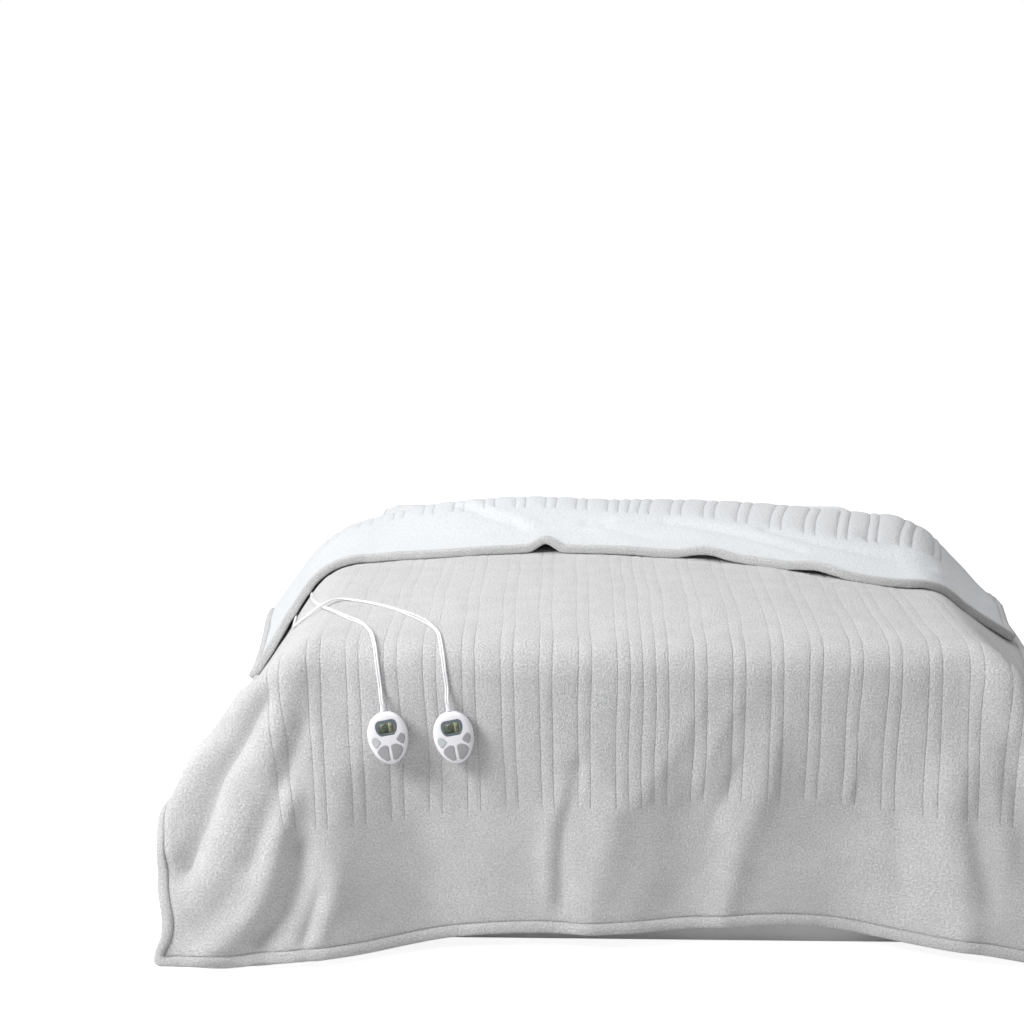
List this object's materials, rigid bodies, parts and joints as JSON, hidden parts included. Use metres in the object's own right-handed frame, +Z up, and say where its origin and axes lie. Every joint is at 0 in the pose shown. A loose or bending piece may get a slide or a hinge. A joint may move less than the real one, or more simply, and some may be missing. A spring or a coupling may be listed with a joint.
{
  "type": "electric heated blanket on a bed",
  "caption": "Plush electric blanket draped over a plain bed, head end turned down to its fleecy back, with bound edges and hand controllers hanging on leads at the foot.",
  "frame": {"origin": "on the floor, under the middle of the bed", "axes": "+Y towards the head of the bed, +X to the right seen from the foot, +Z up"},
  "size_m": [2.0523, 2.2421, 0.7914],
  "materials": {
    "plush": "short plush",
    "binding_cloth": "plush binding",
    "ticking": "woven",
    "base_cloth": "woven",
    "shell": "moulded gloss",
    "key": "soft touch",
    "window": "clear over a display",
    "lead": "cable jacket"
  },
  "bodies": {
    "bed": {"bed_base": "base_cloth", "mattress": "ticking", "blanket": "plush", "binding": "binding_cloth", "left_case": "shell", "left_display": "window", "left_gland": "shell", "left_lead_strand_1": "lead", "left_lead_strand_2": "lead", "right_case": "shell", "right_display": "window", "right_gland": "shell", "right_lead_strand_1": "lead", "right_lead_strand_2": "lead"},
    "left_key_left_side_body": {"left_key_left_side": "key"},
    "left_key_right_side_body": {"left_key_right_side": "key"},
    "left_key_lower_left_body": {"left_key_lower_left": "key"},
    "left_key_lower_right_body": {"left_key_lower_right": "key"},
    "right_key_left_side_body": {"right_key_left_side": "key"},
    "right_key_right_side_body": {"right_key_right_side": "key"},
    "right_key_lower_left_body": {"right_key_lower_left": "key"},
    "right_key_lower_right_body": {"right_key_lower_right": "key"}
  },
  "joints": [
    {"name": "left_key_left_side_press", "type": "slide", "parent": "bed", "child": "left_key_left_side_body", "axis": [-0.0839, 0.9776, -0.1932], "range_m": [0, 0.001], "stiffness_N_per_m": 500},
    {"name": "left_key_right_side_press", "type": "slide", "parent": "bed", "child": "left_key_right_side_body", "axis": [-0.0839, 0.9776, -0.1932], "range_m": [0, 0.001], "stiffness_N_per_m": 500},
    {"name": "left_key_lower_left_press", "type": "slide", "parent": "bed", "child": "left_key_lower_left_body", "axis": [-0.0839, 0.9776, -0.1932], "range_m": [0, 0.001], "stiffness_N_per_m": 500},
    {"name": "left_key_lower_right_press", "type": "slide", "parent": "bed", "child": "left_key_lower_right_body", "axis": [-0.0839, 0.9776, -0.1932], "range_m": [0, 0.001], "stiffness_N_per_m": 500},
    {"name": "right_key_left_side_press", "type": "slide", "parent": "bed", "child": "right_key_left_side_body", "axis": [-0.0389, 0.9907, -0.1301], "range_m": [0, 0.001], "stiffness_N_per_m": 500},
    {"name": "right_key_right_side_press", "type": "slide", "parent": "bed", "child": "right_key_right_side_body", "axis": [-0.0389, 0.9907, -0.1301], "range_m": [0, 0.001], "stiffness_N_per_m": 500},
    {"name": "right_key_lower_left_press", "type": "slide", "parent": "bed", "child": "right_key_lower_left_body", "axis": [-0.0389, 0.9907, -0.1301], "range_m": [0, 0.001], "stiffness_N_per_m": 500},
    {"name": "right_key_lower_right_press", "type": "slide", "parent": "bed", "child": "right_key_lower_right_body", "axis": [-0.0389, 0.9907, -0.1301], "range_m": [0, 0.001], "stiffness_N_per_m": 500}
  ]
}
